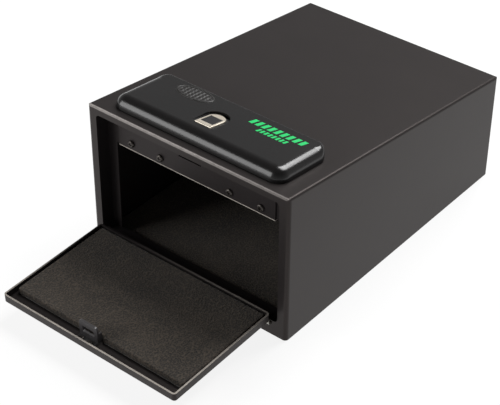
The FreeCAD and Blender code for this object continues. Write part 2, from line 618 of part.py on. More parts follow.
def pod():
    """Moulded housing, its gasket and badge, and the parts of the fingerprint reader."""
    blank = rounded_prism("pod_blank", "XY", ("-pod_half", "pod_half"), ("pod_front", "pod_back"),
                          ("gasket", "pod_high"), "pod_corner")
    outside = soft_top("pod_outside", blank, number("pod_roll"), number("pod_back_roll"))
    void = rounded_prism("pod_void_blank", "XY", ("-pod_half + pod_wall", "pod_half - pod_wall"),
                         ("pod_front + pod_wall", "pod_back - pod_wall"), (0, "pod_high - pod_wall"),
                         "pod_corner - pod_wall")
    inside = round_edges(void, edges_in_plane(void.Shape, 2, number("pod_high - pod_wall")),
                         "pod_roll - pod_wall")
    bosses = [cut(f"pod_boss_{i}", rod(f"pod_post_{i}", 4, "z", ("gasket", "pod_high - 1"), x, y),
                  rod(f"pod_pilot_{i}", "screw_radius", "z", (0, "pod_high - 3.5"), x, y))
              for i, (x, y) in enumerate(POD_SCREWS)]
    recess = turn_about_x(arch("pod_recess", "recess_margin", (0, 6)), "reader_front", "pod_high",
                          "-reader_tilt")
    well = turn_about_x(arch("pod_well", "0.1", (-5, 1)), "reader_front", "pod_high", "-reader_tilt")
    seat = badge("pod_badge_seat", 0.1, "pod_high - badge_thick", "pod_high + 1")
    shell = cut("pod_shell", outside, inside, recess, well, seat)
    node("pod_housing", on_roof(fuse("pod_housing", shell, *bosses)))

    ring = cut("gasket_ring",
               rounded_prism("gasket_outside", "XY", ("-pod_half + 0.4", "pod_half - 0.4"),
                             ("pod_front + 0.4", "pod_back - 0.4"), (0, "gasket"), "pod_corner"),
               rounded_prism("gasket_inside", "XY", ("-pod_half + 3.4", "pod_half - 3.4"),
                             ("pod_front + 3.4", "pod_back - 3.4"), (-1, "gasket + 1"), "pod_corner - 3"))
    node("pod_gasket", on_roof(ring))
    node("badge_plate", on_roof(badge("badge_plate", 0, "pod_high - badge_thick", "pod_high")))

    window_y = ("window_front", "window_front + window_long")
    window_x = ("reader_x - window_x", "reader_x + window_x")
    hole = block("bezel_hole", window_x, window_y, (-4, 2))
    crown = doc.addObject("Part::Fillet", "bezel_crown")
    crown.Base = arch("bezel_arch", "0", (-1.8, 1))
    doc.recompute()
    crown.Edges = [(int(edge[4:]), 0.7, 0.7) for edge in edges_in_plane(crown.Base.Shape, 2, 1)]
    bezel = cut("bezel_blank", crown, hole)
    node("sensor_bezel", on_reader(bezel))
    glass = block("window_glass", ("reader_x - window_x + 0.05", "reader_x + window_x - 0.05"),
                  ("window_front + 0.05", "window_front + window_long - 0.05"), (-1.6, 0.75))
    node("sensor_window", on_reader(glass))
    module = block("module_block", ("reader_x - 7.5", "reader_x + 7.5"), (2, 21), (-3.4, -1.85))
    node("sensor_module", on_reader(module))

    post_high = 2.2
    board = block("board_sheet", ("-board_half", "board_half"), ("board_front", "board_back"),
                  (post_high, post_high + 1.6))
    chips = [block(f"board_chip_{i}", (x, x + dx), (y, y + dy), (post_high + 1.5, post_high + high))
             for i, (x, dx, y, dy, high) in enumerate(((-48, 10, 36, 10, 2.8), (20, 14, 38, 14, 3.4),
                                                       (42, 9, 54, 9, 4.6), (-30, 12, 56, 6, 4.6)))]
    node("circuit_board", on_roof(fuse("circuit_board", board, *chips)))
    posts = [rod(f"board_post_{i}", 2.2, "z", (0, post_high), x, y)
             for i, (x, y) in enumerate(((-54, 34), (54, 34), (-54, 64), (54, 64)))]
    node("board_posts", on_roof(group("board_posts", posts)))
    screws = [screw_at(f"pod_screw_{i}", "pod_high - 3.6 + wall", x, y, "-wall", Rotation())
              for i, (x, y) in enumerate(POD_SCREWS)]
    node("pod_screws", on_roof(group("pod_screws", screws)))


# ---------------------------------------------------------------- hinge and door

def knuckle_spans(which):
    """X spans of the hinge knuckles: which is 0 for the frame's leaf and 1 for the door's."""
    step = "(2 * leaf_half / knuckles)"
    return [(f"-leaf_half + {k} * {step} + knuckle_gap / 2", f"-leaf_half + {k + 1} * {step} - knuckle_gap / 2")
            for k in range(int(SIZES["knuckles"])) if k % 2 == which]


def leaf(name, which, y, z, height, gap):
    """One hinge leaf about an axis at (y, z), cleared where the other leaf has its knuckles."""
    barrels = [rod(f"{name}_barrel_{i}", "barrel", "x", span, y, z)
               for i, span in enumerate(knuckle_spans(which))]
    low, high = height
    plate = block(f"{name}_plate", ("-leaf_half", "leaf_half"), (y, f"{y} + hinge_out + leaf_deep"),
                  (f"{z} + {low}", f"{z} + {high}"))
    reliefs = [block(f"{name}_relief_{i}", (f"{a} - knuckle_gap", f"{b} + knuckle_gap"),
                     (f"{y} - barrel - 1", f"{y} + {gap}"), (f"{z} - barrel - 1", f"{z} + barrel + 1"))
               for i, (a, b) in enumerate(knuckle_spans(1 - which))]
    bore = rod(f"{name}_bore", "pin_radius + pin_play", "x", ("-leaf_half - 1", "leaf_half + 1"), y, z)
    return barrels, plate, reliefs, bore


def hinge():
    """Full-width hinge: two leaves, a pin, and a torsion spring at each end of the pin."""
    axis = ("front - hinge_out", "hinge_height")
    barrels, plate, reliefs, bore = leaf("frame_leaf", 0, *axis, ("sill - hinge_height",
                                         "sill - hinge_height + leaf"), "hinge_out - 0.5")
    tabs = []
    for i, (a, b) in enumerate(knuckle_spans(0)[1::2]):
        middle = f"(({a}) + ({b})) / 2"
        tabs.append(block(f"stop_tab_{i}", (f"{middle} - stop_tab_half", f"{middle} + stop_tab_half"),
                          (f"{axis[0]} - stop_tab_reach", axis[0]),
                          ("hinge_height + stop_tab_top - 1.5", "hinge_height + stop_tab_top")))
    body = fuse("frame_leaf_body", *barrels, plate, *tabs)
    node("hinge_frame_leaf", cut("hinge_frame_leaf", body, bore, *reliefs))

    barrels, plate, reliefs, bore = leaf("door_leaf", 1, "0", "0", ("0.2", "0.2 + leaf"), "hinge_out - 0.1")
    body = fuse("door_leaf_body", *barrels, plate)
    node("hinge_door_leaf", on_hinge(cut("hinge_door_leaf", body, bore, *reliefs)))

    end = "leaf_half + 7"
    node("hinge_pin", rod("hinge_pin", "pin_radius", "x", (f"-{end.replace(' +', ' -')}", end), *axis))

    wire, turns = 0.4, 5
    springs = []
    for sign in (-1, 1):
        spring = coil(f"hinge_spring_{sign + 1}", turns, 2 * wire + 0.2, number("pin_radius") + wire + 0.15,
                      wire)
        reach = sign * (number("leaf_half") + 0.4 + wire)
        spring.Placement = Placement(Vector(reach, number(axis[0]), number(axis[1])),
                                     Rotation(Vector(0, 0, 1), Vector(sign, 0, 0)))
        springs.append(spring)
    node("hinge_springs", group("hinge_springs", springs))


def door():
    """Shallow steel pan, its foam pad, the striker loop and the two rivets that hold it."""
    inner = "hinge_out + wall"
    pan = rounded_prism("pan_blank", "XZ", ("-door_half", "door_half"), ("door_low", "door_top"),
                        ("hinge_out", "hinge_out + door_deep"), "door_corner")
    round_edges(pan, edges_in_plane(pan.Shape, 1, number("hinge_out")), "door_soft")
    hollow = rounded_prism("pan_hollow", "XZ", ("-door_half + wall", "door_half - wall"),
                           ("door_low + wall", "door_top - wall"), (inner, "hinge_out + door_deep + 1"),
                           "door_corner - wall")
    rivet_x = [f"latch_x + {sign} * rivet_spread" for sign in (-1, 1)]
    drills = [rod(f"pan_drill_{i}", "rivet_radius", "y", ("0", f"{inner} + 1"), x, "rivet_z")
              for i, x in enumerate(rivet_x)]
    node("door_panel", on_hinge(cut("door_panel", pan, hollow, *drills)))
    pad_half = "door_half - wall - pad_side"
    pad = rounded_prism("pad_blank", "XZ", (f"-({pad_half})", pad_half), ("door_low + wall + 0.6", "pad_top"),
                        (f"{inner} + 0.05", f"{inner} + pad_thick"), "door_corner")
    bite = block("pad_bite", ("latch_x - striker_half - 1.5", "latch_x + striker_half + 1.5"),
                 (inner, f"{inner} + pad_thick + 1"), ("striker_face - gusset - 1", "pad_top + 1"))
    node("door_liner", on_hinge(cut("pad_cut", pad, bite)))

    half = ("latch_x - striker_half", "latch_x + striker_half")
    plate_z = ("striker_face - striker_thick", "striker_face")
    plate = prism("striker_plate", "XY", [(half[0], inner), (half[1], inner),
                                          (half[1], f"{inner} + striker_tall"),
                                          (half[0], f"{inner} + striker_tall")], plate_z)
    far_edges = [name for name in edges_along(plate.Shape, 2)
                 if plate.Shape.Edges[int(name[4:]) - 1].CenterOfMass.y > number(f"{inner} + striker_tall / 2")]
    round_edges(plate, far_edges, "striker_thick * 1.4")
    loop = rounded_prism("striker_hole", "XY", ("latch_x - striker_hole_half", "latch_x + striker_hole_half"),
                         (f"{inner} + striker_hole_low", f"{inner} + striker_hole_high"),
                         ("striker_face - striker_thick - 1", "striker_face + 1"), "striker_thick / 3")
    flange = block("striker_flange", half, (inner, f"{inner} + wall"),
                   ("striker_face - 0.1", "door_top - wall - 0.6"))
    drills = [rod(f"striker_drill_{i}", "rivet_radius", "y", ("0", f"{inner} + wall + 1"), x, "rivet_z")
              for i, x in enumerate(rivet_x)]
    sides = [block(f"striker_gusset_{i}", span, (inner, f"{inner} + gusset_tall"),
                   ("striker_face - gusset", "striker_face - 0.1"))
             for i, span in enumerate(((half[0], f"{half[0]} + wall"), (f"{half[1]} - wall", half[1])))]
    node("striker", on_hinge(cut("striker", fuse("striker_body", plate, flange, *sides), loop, *drills)))
    rivets = []
    for i, x in enumerate(rivet_x):
        shank = rod(f"rivet_shank_{i}", "rivet_radius", "y", ("hinge_out", f"{inner} + wall + 0.1"), x, "rivet_z")
        head = rod(f"rivet_head_{i}", "rivet_radius * 1.8", "y", (f"{inner} + wall", f"{inner} + wall + 1.3"),
                   x, "rivet_z")
        doc.recompute()
        dome = doc.addObject("Part::Fillet", f"rivet_dome_{i}")
        dome.Base = head
        crown = edges_in_plane(head.Shape, 1, head.Shape.BoundBox.YMax)
        dome.Edges = [(int(edge[4:]), 1.0, 1.0) for edge in crown]
        rivets.append(fuse(f"rivet_{i}", shank, dome))
    node("striker_rivets", on_hinge(group("striker_rivets", rivets)))


# ---------------------------------------------------------------- build, check and write

BOLTS = [(x, f"front + {y}") for y in ("bolt_front", "bolt_back") for x in ("-bolt_x", "bolt_x")]
COVER_SCREWS = ["-screw_far", "-screw_near", "screw_near", "screw_far"]
POD_SCREWS = [(x, y) for y in ("pod_front + 11", "pod_back - 9") for x in ("-pod_half + 14", "pod_half - 14")]


def check_and_write():
    """Stop on any failed feature or bad shape, then write each sub-part."""
    doc.recompute()
    failed = [item.Name for item in doc.Objects if {"Invalid", "Error"} & set(item.State)]
    if failed:
        raise RuntimeError("failed features: " + ", ".join(failed))
    os.makedirs("parts", exist_ok=True)
    for stale in os.listdir("parts"):
        os.remove(os.path.join("parts", stale))
    for item in nodes:
        shape = item.Shape
        if shape.isNull() or not shape.isValid() or not shape.Solids:
            raise RuntimeError("bad shape: " + item.Label)
        shape.exportStep(f"parts/{item.Label}.step")
    print(len(nodes), "sub-parts written")


hollow_box()
base_plate()
door_stop_frame()
floor_liner()
lock_cover()
lock_cover_screws()
latch_slide()
latch_guides()
solenoid()
key_lock()
battery_pack()
pod()
hinge()
door()
check_and_write()
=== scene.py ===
"""Looks of a drop-door pistol safe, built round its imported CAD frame.

Every length is in metres, in the CAD's own frame: +X to the right, -Y out of the doorway, +Z up.
Each sub-assembly is a class whose fields are its sizes, and each finish is a frozen dataclass.
"""

import json
import logging
import math
from dataclasses import dataclass, field
from enum import Enum
from typing import Any, Sequence

import bpy
import numpy as np
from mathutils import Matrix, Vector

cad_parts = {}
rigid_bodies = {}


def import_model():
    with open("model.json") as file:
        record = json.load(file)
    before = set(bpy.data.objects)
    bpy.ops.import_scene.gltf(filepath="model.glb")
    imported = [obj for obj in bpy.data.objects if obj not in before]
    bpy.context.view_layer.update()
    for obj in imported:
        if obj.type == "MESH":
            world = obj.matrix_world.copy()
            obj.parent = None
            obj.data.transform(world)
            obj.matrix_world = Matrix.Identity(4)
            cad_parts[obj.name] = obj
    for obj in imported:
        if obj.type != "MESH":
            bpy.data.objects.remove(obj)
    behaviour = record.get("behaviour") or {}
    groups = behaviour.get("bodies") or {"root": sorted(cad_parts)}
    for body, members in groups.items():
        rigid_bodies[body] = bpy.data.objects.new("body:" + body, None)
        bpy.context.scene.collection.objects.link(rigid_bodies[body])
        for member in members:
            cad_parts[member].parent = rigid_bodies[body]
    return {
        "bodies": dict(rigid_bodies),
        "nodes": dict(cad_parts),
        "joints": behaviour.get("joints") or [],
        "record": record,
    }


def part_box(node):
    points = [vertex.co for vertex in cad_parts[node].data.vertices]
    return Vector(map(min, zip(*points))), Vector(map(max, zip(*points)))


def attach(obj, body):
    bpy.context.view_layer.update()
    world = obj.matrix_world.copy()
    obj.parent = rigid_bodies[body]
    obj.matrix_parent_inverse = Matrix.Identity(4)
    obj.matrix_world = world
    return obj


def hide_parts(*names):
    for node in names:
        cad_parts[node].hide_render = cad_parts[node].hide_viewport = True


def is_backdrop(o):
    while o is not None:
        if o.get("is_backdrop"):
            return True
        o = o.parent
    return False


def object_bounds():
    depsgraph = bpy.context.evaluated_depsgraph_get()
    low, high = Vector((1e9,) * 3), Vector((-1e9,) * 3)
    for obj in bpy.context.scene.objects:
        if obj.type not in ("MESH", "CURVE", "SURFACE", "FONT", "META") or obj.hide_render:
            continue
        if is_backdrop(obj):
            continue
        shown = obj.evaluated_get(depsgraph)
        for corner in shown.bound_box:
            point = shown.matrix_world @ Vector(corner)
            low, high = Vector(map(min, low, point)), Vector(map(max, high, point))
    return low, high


LOG = logging.getLogger("pistol_safe")
Socket = Any
Triple = tuple[float, float, float]
MM = 0.001


# ---------------------------------------------------------------- colours and shader nodes

def linear(code: str) -> tuple[float, float, float, float]:
    """Turns an sRGB hex colour into linear light, by the standard's own curve.

    Args:
        code: Six hex digits, such as "2b2a2c".

    Returns:
        Red, green, blue and an alpha of one.
    """
    channels = [int(code[i:i + 2], 16) / 255 for i in (0, 2, 4)]
    light = [c / 12.92 if c <= 0.04045 else ((c + 0.055) / 1.055) ** 2.4 for c in channels]
    return (*light, 1.0)


def add(tree: bpy.types.NodeTree, kind: str, settings: dict[str, Any] | None = None,
        **inputs: Any) -> bpy.types.Node:
    """Adds one shader node with its settings, its input values and its links.

    Args:
        tree: The material's node tree.
        kind: The node's type name.
        settings: Properties of the node itself.
        **inputs: Input values or sockets to link, by name with an underscore for a space, or by
            number, as in i0.

    Returns:
        The new node.
    """
    made = tree.nodes.new(kind)
    for name, value in (settings or {}).items():
        setattr(made, name, value)
    for name, value in inputs.items():
        key = name.replace("_", " ")
        socket = made.inputs[int(key[1:])] if key[1:].isdigit() else made.inputs[key]
        if isinstance(value, bpy.types.NodeSocket):
            tree.links.new(value, socket)
        else:
            socket.default_value = value
    return made


class Speck(Enum):
    """How a finish's fine pattern is made."""

    GRAIN = "moulded or sprayed grain"
    BRUSHED = "fine lines one way"
    CELLS = "open foam cells"


@dataclass(frozen=True)
class Finish:
    """One real surface finish, from which a material is made.

    The grain is the size of one speck and depth is how deep it is; spread is how far the roughness
    strays with it.  Lines stretches a brushed pattern along an axis.  The clouds, a slow change of
    tone, and the ripples, whose depth is wander, are given per metre: 36 and 17 mm from one to the
    next.
    """

    name: str
    colour: str
    tint: str
    roughness: float
    metallic: float = 0.0
    ior: float = 1.5
    speck: Speck = Speck.GRAIN
    grain: float = 1.2 * MM
    bump: float = 0.1
    depth: float = 0.05 * MM
    spread: float = 0.04
    wander: float = 0.0
    lines: Triple = (1.0, 1.0, 1.0)
    coat: float = 0.0
    sheen: float = 0.0
    gloss: str = "ffffff"
    clouds: float = 28.0
    cloud_share: float = 0.5
    tones: tuple[float, float] = (0.35, 1.15)
    ripples: float = 60.0
    ripple_bump: float = 0.4

    def pattern(self, tree: bpy.types.NodeTree, place: Socket) -> Socket:
        """The fine pattern's height, from 0 to 1.

        Args:
            tree: The material's node tree.
            place: Object coordinates.

        Returns:
            The socket that carries the height.
        """
        scale = 1 / self.grain
        if self.speck is Speck.CELLS:
            near = add(tree, "ShaderNodeTexVoronoi", {"feature": "F1"}, Vector=place, Scale=scale)
            return near.outputs["Distance"]
        if self.speck is Speck.BRUSHED:
            drawn = add(tree, "ShaderNodeMapping", None, Vector=place, Scale=self.lines)
            return add(tree, "ShaderNodeTexNoise", None, Vector=drawn.outputs[0], Scale=scale,
                       Detail=2.0, Roughness=0.6).outputs[0]
        return add(tree, "ShaderNodeTexNoise", None, Vector=place, Scale=scale, Detail=3.0,
                   Roughness=0.55).outputs[0]

    def base(self, tree: bpy.types.NodeTree, place: Socket, height: Socket) -> Socket:
        """The finish's colour: two tones mixed by the fine pattern and by slow clouds.

        Args:
            tree: The material's node tree.
            place: Object coordinates.
            height: The fine pattern.

        Returns:
            The colour socket.
        """
        low, high = self.tones
        clouds = add(tree, "ShaderNodeTexNoise", None, Vector=place, Scale=self.clouds, Detail=2.0)
        both = add(tree, "ShaderNodeMath", {"operation": "MULTIPLY_ADD"}, i0=clouds.outputs[0],
                   i1=self.cloud_share, i2=height)
        amount = add(tree, "ShaderNodeMapRange", None, Value=both.outputs[0], From_Min=low,
                     From_Max=high)
        mixed = add(tree, "ShaderNodeMix", {"data_type": "RGBA"}, i0=amount.outputs[0],
                    i6=linear(self.colour), i7=linear(self.tint))
        return mixed.outputs[2]

    def material(self) -> bpy.types.Material:
        """Makes the node material.

        Returns:
            The material, named for its finish.
        """
        made = bpy.data.materials.new(self.name)
        made.use_nodes = True
        tree = made.node_tree
        tree.nodes.clear()
        place = add(tree, "ShaderNodeTexCoord").outputs["Object"]
        height = self.pattern(tree, place)
        colour = self.base(tree, place, height)
        dull = add(tree, "ShaderNodeMapRange", None, Value=height,
                   To_Min=self.roughness - self.spread, To_Max=self.roughness + self.spread)
        relief = add(tree, "ShaderNodeBump", None, Height=height, Strength=self.bump,
                     Distance=self.depth)
        if self.wander:
            slow = add(tree, "ShaderNodeTexNoise", None, Vector=place, Scale=self.ripples,
                       Detail=1.0)
            relief = add(tree, "ShaderNodeBump", None, Height=slow.outputs[0],
                         Strength=self.ripple_bump, Distance=self.wander,
                         Normal=relief.outputs[0])
        shader = add(tree, "ShaderNodeBsdfPrincipled", None,
                     Base_Color=self.dress(tree, place, colour), Roughness=dull.outputs[0],
                     Metallic=self.metallic, IOR=self.ior, Normal=relief.outputs[0],
                     Coat_Weight=self.coat, Sheen_Weight=self.sheen,
                     Specular_Tint=linear(self.gloss))
        add(tree, "ShaderNodeOutputMaterial", None, Surface=shader.outputs[0])
        return made

    def dress(self, tree: bpy.types.NodeTree, place: Socket, colour: Socket) -> Socket:
        """Adds a second colour where a finish has one; a plain finish keeps its own."""
        return colour

    def with_edge_highlight(self, name: str, **highlight_fields: Any) -> "EdgeHighlight":
        """The same finish with a painted highlight along one edge."""
        return EdgeHighlight(**{**vars(self), "name": name, **highlight_fields})


@dataclass(frozen=True)
class EdgeHighlight(Finish):
    """A coating with a painted highlight along one edge, stronger towards one side of the piece.

    The edge is where a place's reach along facing passes start, and the painted highlight is full a
    width further.  Highlight breaks, given per metre, are the patches in it, and patch is where
    they begin and end.  The highlight grows along toward, from toward_from to toward_to.
    """

    bare: str = "b8aea2"
    facing: Triple = (0.0, 0.0, 1.0)
    start: float = 0.0
    width: float = 0.1 * MM
    least: float = 0.8
    toward: Triple = (0.0, 0.0, 0.0)
    toward_from: float = -1.0
    toward_to: float = 0.0
    highlight_breaks: float = 240.0
    patch: tuple[float, float] = (0.3, 0.6)

    def dress(self, tree: bpy.types.NodeTree, place: Socket, colour: Socket) -> Socket:
        """Mixes in the painted highlight past a plane, in patches, faded along a second direction.

        Args:
            tree: The material's node tree.
            place: Object coordinates.
            colour: The coating's own colour.

        Returns:
            The mixed colour.
        """
        low, high = self.patch
        reach = add(tree, "ShaderNodeVectorMath", {"operation": "DOT_PRODUCT"}, i0=place,
                    i1=self.facing)
        amount = add(tree, "ShaderNodeMapRange", None, Value=reach.outputs["Value"],
                     From_Min=self.start, From_Max=self.start + self.width)
        highlight_noise = add(tree, "ShaderNodeTexNoise", None, Vector=place, Scale=self.highlight_breaks, Detail=2.0)
        patchy = add(tree, "ShaderNodeMapRange", None, Value=highlight_noise.outputs[0], From_Min=low,
                     From_Max=high, To_Min=self.least)
        along = add(tree, "ShaderNodeVectorMath", {"operation": "DOT_PRODUCT"}, i0=place,
                    i1=self.toward)
        fade = add(tree, "ShaderNodeMapRange", None, Value=along.outputs["Value"],
                   From_Min=self.toward_from, From_Max=self.toward_to)
        both = add(tree, "ShaderNodeMath", {"operation": "MULTIPLY"}, i0=amount.outputs[0],
                   i1=patchy.outputs[0])
        rest = add(tree, "ShaderNodeMath", {"operation": "MULTIPLY"}, i0=both.outputs[0],
                   i1=fade.outputs[0])
        # Painted highlight: a pale colour mixed into the coat along the edge, standing in for light
        # caught there.
        return add(tree, "ShaderNodeMix", {"data_type": "RGBA"}, i0=rest.outputs[0], i6=colour,
                   i7=linear(self.bare)).outputs[2]


@dataclass(frozen=True)
class Banded(Finish):
    """A printed piece that changes colour at a place along one axis."""

    far_colour: str = "c9c7c0"
    facing: Triple = (0.0, 1.0, 0.0)
    start: float = 0.0

    def dress(self, tree: bpy.types.NodeTree, place: Socket, colour: Socket) -> Socket:
        """Swaps the colour past a plane, with a sharp border.

        Args:
            tree: The material's node tree.
            place: Object coordinates.
            colour: The colour on the near side.

        Returns:
            The colour of either side.
        """
        reach = add(tree, "ShaderNodeVectorMath", {"operation": "DOT_PRODUCT"}, i0=place,
                    i1=self.facing)
        past = add(tree, "ShaderNodeMath", {"operation": "GREATER_THAN"},
                   i0=reach.outputs["Value"], i1=self.start)
        return add(tree, "ShaderNodeMix", {"data_type": "RGBA"}, i0=past.outputs[0], i6=colour,
                   i7=linear(self.far_colour)).outputs[2]


# Polyester powder coat baked on sheet steel: near-black, half matt, with a fine orange peel that
# is drawn at about twice its size, so that it shows.
POWDER_COAT = Finish("powder_coated_steel", "211f1f", "292626", 0.36, ior=1.3, gloss="ffece4",
                     grain=1.6 * MM, bump=0.12, depth=0.06 * MM, spread=0.05, wander=0.06 * MM)
# The same coat inside, sprayed thinner: a little duller, with no slow ripples.
INNER_COAT = Finish("powder_coated_inside", "1c1a1b", "232021", 0.4, ior=1.28, gloss="ffece4",
                    grain=1.6 * MM, bump=0.1, depth=0.05 * MM, spread=0.05)
# ABS moulded in a finely blasted tool: black, with an even grain, and glossier than the steel.
POD_PLASTIC = Finish("moulded_abs", "1a1919", "201f1f", 0.22, grain=1.0 * MM, bump=0.08,
                     depth=0.04 * MM, spread=0.03)
# Black zinc on a screw: a dark metal with a brown cast and a soft shine.
SCREW_BLACK = Finish("black_zinc_screw", "3a3735", "4d4844", 0.34, metallic=0.8, grain=0.8 * MM,
                     bump=0.05)
# Bright zinc on pressed steel: pale grey, with faint rolling lines.
ZINC = Finish("zinc_plated_steel", "a9a9a3", "b8b6ae", 0.34, metallic=1.0, speck=Speck.BRUSHED,
              grain=0.9 * MM, lines=(1.0, 0.15, 1.0), bump=0.06, spread=0.06)
# Polished nickel plate: a warm, nearly clear mirror.
NICKEL = Finish("bright_nickel", "c4c1ba", "d2cfc8", 0.2, metallic=1.0, grain=2.0 * MM, bump=0.02)
# Brushed and anodised aluminium, champagne: fine lines along x, drawn at 0.5 mm, so that they show.
CHAMPAGNE = Finish("champagne_anodised", "d3c9b9", "e0d7c8", 0.36, metallic=0.7,
                   speck=Speck.BRUSHED, grain=0.5 * MM, lines=(0.2, 1.0, 1.0), bump=0.05,
                   spread=0.05)
# Open-cell polyether foam, charcoal with a brown cast; its cells are drawn twice their size, so
# that they show.
FOAM = Finish("charcoal_foam", "090807", "4c4339", 0.95, speck=Speck.CELLS, grain=1.5 * MM,
              bump=0.8, depth=0.5 * MM, spread=0.03, sheen=0.15)
# The striker's coat, drawn a lighter grey than the inside coat: the grey is painted reflection of
# light off its faces.
STRIKER_COAT = Finish("striker_coat_painted_reflection", "3a3839", "484647", 0.34, grain=1.2 * MM, bump=0.08,
                      depth=0.04 * MM, spread=0.05)
# Etched area of the pod's mould: the same plastic, but dull and a little browner.
ETCHED_PLASTIC = Finish("etched_abs", "0f0e0d", "1e1b19", 0.42, grain=0.8 * MM, bump=0.1,
                        depth=0.05 * MM, spread=0.04)
# Smoked glass under a hard clear coat: almost black, with sharp highlights.
GLASS_BLACK = Finish("sensor_glass", "121113", "1a191c", 0.12, grain=0.9 * MM, bump=0.02, coat=0.4)
# Rubber seal, cut from sheet: dark grey and quite matt.
RUBBER = Finish("epdm_rubber", "1b1b1b", "222222", 0.7, grain=0.8 * MM, bump=0.1)
# Lacquer on a circuit board: deep green, smooth and glossy.
SOLDER_MASK = Finish("solder_mask", "0d4a25", "12562c", 0.3, grain=1.2 * MM, bump=0.05, coat=0.3)
# Enamelled copper wound in layers: red-brown, ribbed round the coil.
ENAMEL_WIRE = Finish("enamelled_copper", "7d3b18", "95501f", 0.35, metallic=0.7,
                     speck=Speck.BRUSHED, grain=0.8 * MM, lines=(0.1, 0.1, 1.0), bump=0.5,
                     depth=0.2 * MM)
# Pad-printed ink: a flat, clean green, as smooth as the plastic under it.
GREEN_PRINT = Finish("pad_printed_green", "00c060", "08cc6c", 0.4, grain=0.6 * MM, bump=0.04)
# Film round a battery cell: glossy black, and copper-brown past the band.
CELL_JACKET = Banded("printed_cell_jacket", "1c1c20", "232327", 0.25, grain=1.5 * MM, bump=0.02,
                     far_colour="b98a4a", start=-58.5 * MM, coat=0.3)


# ---------------------------------------------------------------- meshes

def mesh_piece(name: str, points: np.ndarray, faces: Sequence[Sequence[int]], body: str,
               finish: bpy.types.Material, smooth: bool = True) -> bpy.types.Object:
    """Puts a mesh into the scene, facing outwards, and has it ride on a body.

    Args:
        name: The piece's name.
        points: One row per vertex.
        faces: Vertex numbers of each face.
        body: The CAD body it moves with.
        finish: Its material.
        smooth: Whether faces are shaded smooth.

    Returns:
        The new object.
    """
    data = bpy.data.meshes.new(name)
    data.from_pydata(np.asarray(points, float).tolist(), [], [list(map(int, f)) for f in faces])
    data.validate()
    data.materials.append(finish)
    data.polygons.foreach_set("use_smooth", np.full(len(data.polygons), smooth))
    made = bpy.data.objects.new(name, data)
    bpy.context.scene.collection.objects.link(made)
    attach(made, body)
    LOG.info("%s: %d vertices on %s", name, len(points), body)
    return made


def paint(frame: dict[str, Any], material: bpy.types.Material, *nodes: str) -> None:
    """Puts one material on CAD nodes.

    Args:
        frame: The loaded CAD frame.
        material: The material.
        *nodes: Names of the nodes.
    """
    for name in nodes:
        data = frame["nodes"][name].data
        data.materials.clear()
        data.materials.append(material)


def grid_faces(rows: int, columns: int, wrap: bool = False) -> np.ndarray:
    """Quads of a grid of points numbered row by row.

    Args:
        rows: Number of rows of points.
        columns: Number of points in a row.
        wrap: Whether the last column joins the first.

    Returns:
        Four vertex numbers per quad.
    """
    across = columns if wrap else columns - 1
    r, c = np.meshgrid(np.arange(rows - 1), np.arange(across), indexing="ij")
    after = (c + 1) % columns
    quads = [r * columns + c, r * columns + after, (r + 1) * columns + after, (r + 1) * columns + c]
    return np.stack(quads, -1).reshape(-1, 4)


def clustered(half: float, roll: float, step: float, rows: int = 7) -> np.ndarray:
    """Places along a slab's width, close together where its edge rolls over.

    The places on the edge are roll times one minus the cosine of equal steps of a quarter turn.

    Args:
        half: Half the width.
        roll: Radius of the rolled edge.
        step: Spacing of the places in the middle.
        rows: How many places the rolled edge has.

    Returns:
        The places, from -half to half.
    """
    edge = roll * (1 - np.cos(np.linspace(0, math.pi / 2, rows + 1)))[:-1]
    middle = np.linspace(-half + roll, half - roll, max(3, int(2 * (half - roll) / step)))
    return np.concatenate([-half + edge, middle, half - edge[::-1]])


def slow_wave(x: np.ndarray, y: np.ndarray) -> np.ndarray:
    """How much thicker or thinner a cut foam sheet is at each place, as a share of its thickness.

    Two waves are added: the product of a sine of x and a sine of y, and a sine of both together.

    Args:
        x: Places in x.
        y: Places in y.

    Returns:
        The shares, within 2.2 percent.
    """
    crossed = 0.012 * np.sin(x / (19 * MM) + 1.3) * np.sin(y / (23 * MM))
    return crossed + 0.01 * np.sin(x / (41 * MM) + y / (33 * MM))


